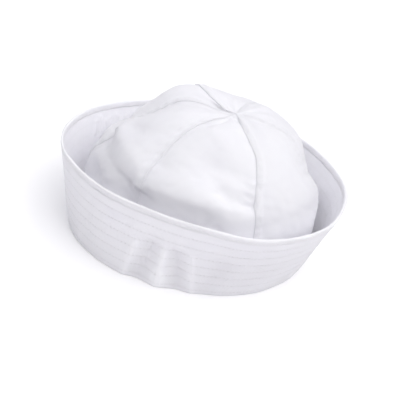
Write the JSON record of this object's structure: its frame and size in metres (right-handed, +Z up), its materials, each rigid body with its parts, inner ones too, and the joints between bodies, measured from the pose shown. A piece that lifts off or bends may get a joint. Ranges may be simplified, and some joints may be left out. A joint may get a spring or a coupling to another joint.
{
  "type": "sailor cap",
  "caption": "White cotton sailor cap: a soft gored dome inside a tall stitched brim that is turned up all round.",
  "frame": {"origin": "centre of the oval base fold, on the surface that the cap rests on", "axes": "+Z up towards the crown's tip, +Y towards the back of the cap along its long axis, +X its right side"},
  "size_m": [0.2131, 0.2294, 0.119],
  "materials": {
    "crown_twill": "white cotton twill, soft, with a faint sheen",
    "brim_twill": "white cotton twill in several plies, closely stitched",
    "hem_twill": "white cotton twill, folded over and pressed",
    "thread": "white cotton sewing thread"
  },
  "bodies": {
    "root": {"brim": "brim_twill", "brim_hem": "hem_twill", "crown_gore_1": "crown_twill", "crown_gore_2": "crown_twill", "crown_gore_3": "crown_twill", "crown_gore_4": "crown_twill", "crown_gore_5": "crown_twill", "crown_gore_6": "crown_twill"}
  },
  "joints": []
}
